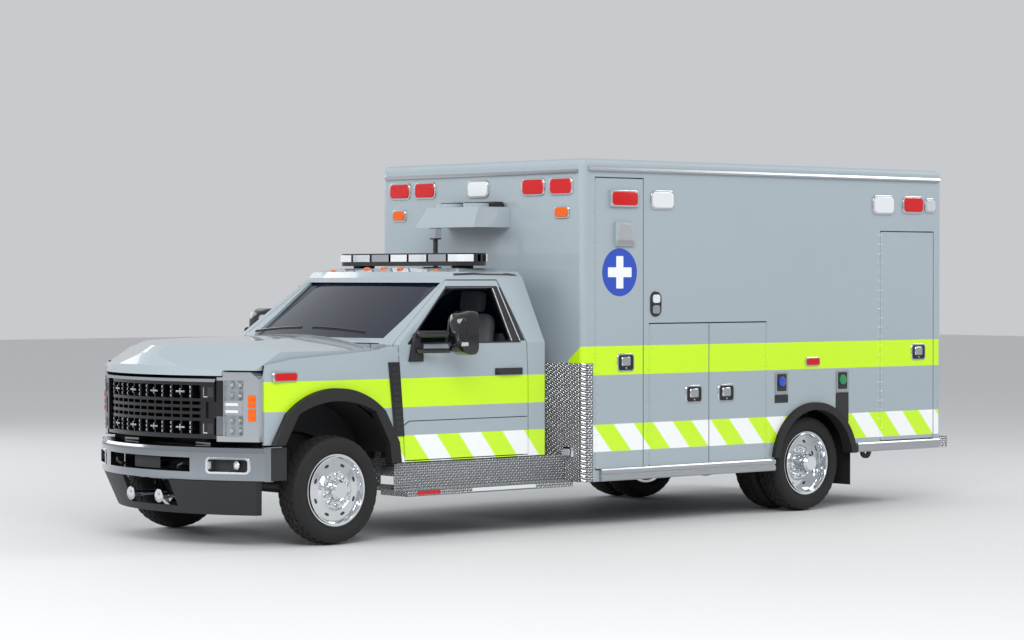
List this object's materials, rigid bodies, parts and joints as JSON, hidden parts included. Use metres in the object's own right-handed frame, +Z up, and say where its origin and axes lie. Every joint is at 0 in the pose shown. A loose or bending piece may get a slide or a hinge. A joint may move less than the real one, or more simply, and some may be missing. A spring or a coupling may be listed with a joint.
{
  "type": "box ambulance",
  "caption": "Truck-based ambulance: regular cab with opening doors and hood, patient box with lockers and doors, steered front wheels, twin rear wheels.",
  "frame": {"origin": "on the ground at the centre of the bounding box", "axes": "+X forward, +Y to the left side, +Z up"},
  "size_m": [7.62, 2.7, 2.829],
  "materials": {
    "body_paint": "smooth gloss",
    "black_chassis": "satin",
    "cast_metal": "rough cast",
    "spring_steel": "satin",
    "glass": "tinted, clear",
    "clear_lens": "clear lens",
    "interior_plastic": "fine grain",
    "seat_fabric": "woven",
    "gloss_black": "gloss",
    "chrome": "mirror polish",
    "black_plastic": "fine grain",
    "rubber_trim": "matte",
    "tyre_rubber": "matte",
    "tread_plate": "diamond plate",
    "bare_aluminium": "brushed",
    "red_lens": "gloss lens",
    "light_bar_lens": "gloss lens",
    "cabinet_laminate": "smooth laminate",
    "exhaust_steel": "dull"
  },
  "bodies": {
    "chassis": {"frame": "black_chassis", "driveline": "cast_metal", "front_axle": "black_chassis", "rear_axle": "black_chassis", "springs": "spring_steel", "cab_tub": "body_paint", "cab_roof": "body_paint", "cab_glass": "glass", "dash": "interior_plastic", "seats": "seat_fabric", "fenders": "body_paint", "headlamps": "clear_lens", "grille": "gloss_black", "radiator_support": "black_chassis", "bumper": "chrome", "valance": "black_plastic", "arch_trim": "rubber_trim", "box_floor": "tread_plate", "box_wall_left": "body_paint", "box_wall_right": "body_paint", "box_wall_front": "body_paint", "box_rear_frame": "body_paint", "box_roof": "body_paint", "lockers": "bare_aluminium", "condenser_shroud": "body_paint", "guards": "tread_plate", "steps": "tread_plate", "box_lamps": "red_lens", "light_bar": "light_bar_lens", "cab_floor": "interior_plastic", "room_fittings": "cabinet_laminate", "fuel_tank": "black_chassis", "exhaust": "exhaust_steel"},
    "hood": {"hood": "body_paint"},
    "cab_door_left": {"cab_door_left": "body_paint", "mirror_left": "black_plastic"},
    "cab_door_right": {"cab_door_right": "body_paint", "mirror_right": "black_plastic"},
    "steer_left": {"knuckle_left": "cast_metal"},
    "steer_right": {"knuckle_right": "cast_metal"},
    "rear_door_left": {"rear_door_left": "body_paint", "rear_glass_left": "glass"},
    "rear_door_right": {"rear_door_right": "body_paint", "rear_glass_right": "glass"},
    "side_entry_door": {"side_entry_door": "body_paint", "side_entry_glass": "glass"},
    "locker_door_front": {"locker_door_front": "body_paint"},
    "locker_door_middle_a": {"locker_door_middle_a": "body_paint"},
    "locker_door_middle_b": {"locker_door_middle_b": "body_paint"},
    "locker_door_rear": {"locker_door_rear": "body_paint"},
    "locker_door_right": {"locker_door_right": "body_paint"},
    "wheel_front_left": {"tyre_front_left": "tyre_rubber", "rim_front_left": "chrome"},
    "wheel_front_right": {"tyre_front_right": "tyre_rubber", "rim_front_right": "chrome"},
    "wheel_rear_left": {"tyre_rear_left": "tyre_rubber", "rim_rear_left": "chrome"},
    "wheel_rear_right": {"tyre_rear_right": "tyre_rubber", "rim_rear_right": "chrome"}
  },
  "joints": [
    {"name": "steer_left", "type": "hinge", "parent": "chassis", "child": "steer_left", "pos_m": [2.84, 0.79, 0.394], "axis": [0, 0, 1], "range_deg": [-32, 32]},
    {"name": "spin_front_left", "type": "hinge", "parent": "steer_left", "child": "wheel_front_left", "pos_m": [2.84, 0.95, 0.394], "axis": [0, 1, 0], "continuous": true},
    {"name": "spin_rear_left", "type": "hinge", "parent": "chassis", "child": "wheel_rear_left", "pos_m": [-1.96, 0.94, 0.394], "axis": [0, 1, 0], "continuous": true},
    {"name": "cab_door_left_hinge", "type": "hinge", "parent": "chassis", "child": "cab_door_left", "pos_m": [2.239, 1.016, 1.36], "axis": [0, 0, -1], "range_deg": [0, 65]},
    {"name": "rear_door_left_hinge", "type": "hinge", "parent": "chassis", "child": "rear_door_left", "pos_m": [-3.608, 0.645, 1.7], "axis": [0, 0, -1], "range_deg": [0, 150]},
    {"name": "steer_right", "type": "hinge", "parent": "chassis", "child": "steer_right", "pos_m": [2.84, -0.79, 0.394], "axis": [0, 0, 1], "range_deg": [-32, 32]},
    {"name": "spin_front_right", "type": "hinge", "parent": "steer_right", "child": "wheel_front_right", "pos_m": [2.84, -0.95, 0.394], "axis": [0, 1, 0], "continuous": true},
    {"name": "spin_rear_right", "type": "hinge", "parent": "chassis", "child": "wheel_rear_right", "pos_m": [-1.96, -0.94, 0.394], "axis": [0, 1, 0], "continuous": true},
    {"name": "cab_door_right_hinge", "type": "hinge", "parent": "chassis", "child": "cab_door_right", "pos_m": [2.239, -1.016, 1.36], "axis": [0, 0, 1], "range_deg": [0, 65]},
    {"name": "rear_door_right_hinge", "type": "hinge", "parent": "chassis", "child": "rear_door_right", "pos_m": [-3.608, -0.645, 1.7], "axis": [0, 0, 1], "range_deg": [0, 150]},
    {"name": "hood_hinge", "type": "hinge", "parent": "chassis", "child": "hood", "pos_m": [2.33, 0, 1.372], "axis": [0, -1, 0], "range_deg": [0, 45]},
    {"name": "locker_door_front_hinge", "type": "hinge", "parent": "chassis", "child": "locker_door_front", "pos_m": [0.46, 1.219, 1.5], "axis": [0, 0, -1], "range_deg": [0, 100]},
    {"name": "locker_door_middle_a_hinge", "type": "hinge", "parent": "chassis", "child": "locker_door_middle_a", "pos_m": [-0.116, 1.219, 1], "axis": [0, 0, -1], "range_deg": [0, 100]},
    {"name": "locker_door_middle_b_hinge", "type": "hinge", "parent": "chassis", "child": "locker_door_middle_b", "pos_m": [-1.43, 1.219, 1], "axis": [0, 0, 1], "range_deg": [0, 100]},
    {"name": "locker_door_rear_hinge", "type": "hinge", "parent": "chassis", "child": "locker_door_rear", "pos_m": [-2.816, 1.219, 1.4], "axis": [0, 0, -1], "range_deg": [0, 100]},
    {"name": "side_entry_door_hinge", "type": "hinge", "parent": "chassis", "child": "side_entry_door", "pos_m": [0.425, -1.219, 1.4], "axis": [0, 0, 1], "range_deg": [0, 100]},
    {"name": "locker_door_right_hinge", "type": "hinge", "parent": "chassis", "child": "locker_door_right", "pos_m": [-2.816, -1.219, 1.4], "axis": [0, 0, 1], "range_deg": [0, 100]}
  ],
  "couplings": [
    {"joint": "steer_right", "follows": "steer_left", "ratio": 1}
  ]
}
